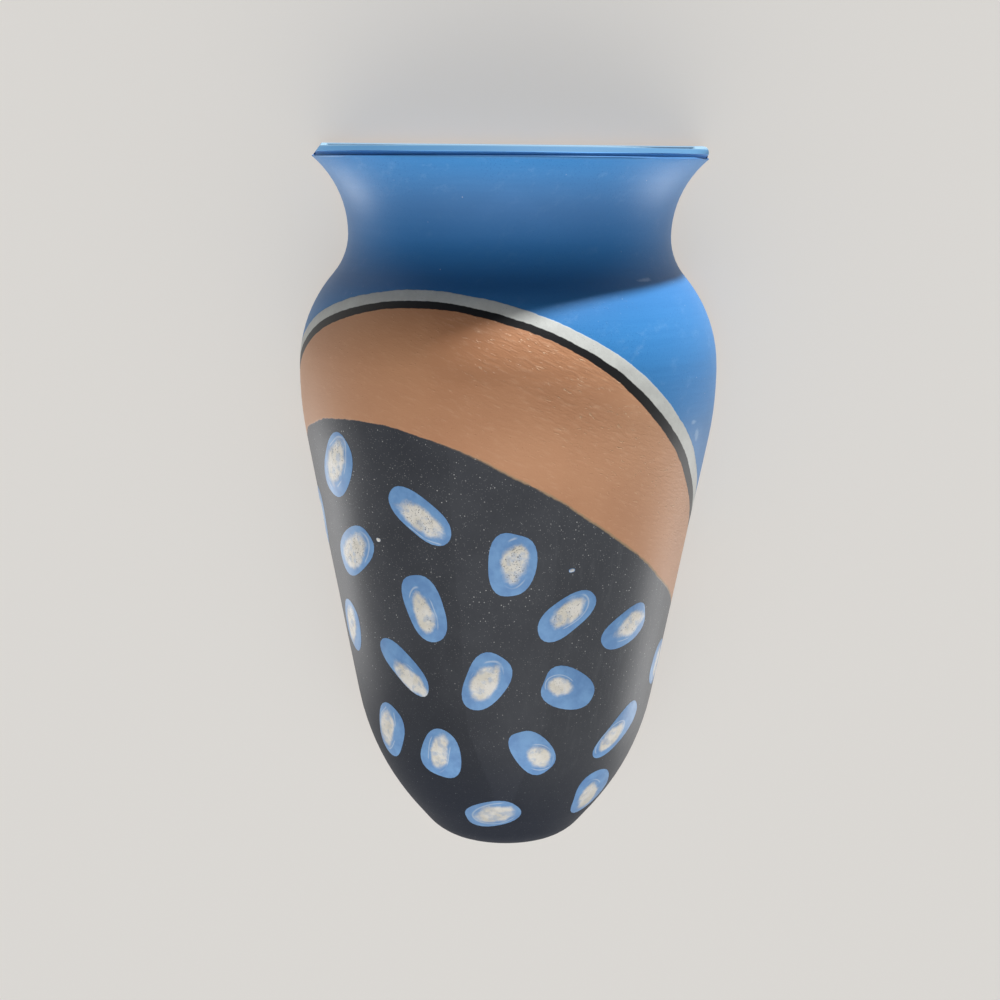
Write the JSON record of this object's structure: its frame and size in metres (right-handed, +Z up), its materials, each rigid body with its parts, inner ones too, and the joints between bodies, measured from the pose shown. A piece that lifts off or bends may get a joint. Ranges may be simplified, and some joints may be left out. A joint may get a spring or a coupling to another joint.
{
  "type": "hanging wall vase",
  "caption": "Half-round fired clay wall vase with a flared neck, flat back, keyhole hanger and lift-out water liner, hung on a plugged wall screw.",
  "frame": {"origin": "where the wall screw's axis meets the wall surface", "axes": "+Z up, +Y into the wall along the screw, +X to the right of a viewer facing the vase"},
  "size_m": [0.187, 0.1505, 0.3148],
  "materials": {
    "painted_clay": "satin",
    "raw_clay": "matte",
    "zinc_steel": "satin",
    "seal_rubber": "matte",
    "bumper_rubber": "matte",
    "plug_nylon": "satin",
    "liner_plastic": "satin"
  },
  "bodies": {
    "wall_fixing": {"wall_plug": "plug_nylon", "wall_screw": "zinc_steel"},
    "vase": {"front_shell": "painted_clay", "back_slab": "raw_clay", "hanger_plate": "zinc_steel", "hanger_screws": "zinc_steel", "sealing_washers": "seal_rubber", "hanger_washers": "zinc_steel", "hanger_nuts": "zinc_steel", "bumper_pads": "bumper_rubber"},
    "liner": {"water_liner": "liner_plastic"}
  },
  "joints": [
    {"name": "hang_lift", "type": "slide", "parent": "wall_fixing", "child": "vase", "axis": [0, 0, 1], "range_m": [0, 0.012]},
    {"name": "liner_lift", "type": "slide", "parent": "vase", "child": "liner", "axis": [0, 0, 1], "range_m": [0, 0.23]}
  ]
}
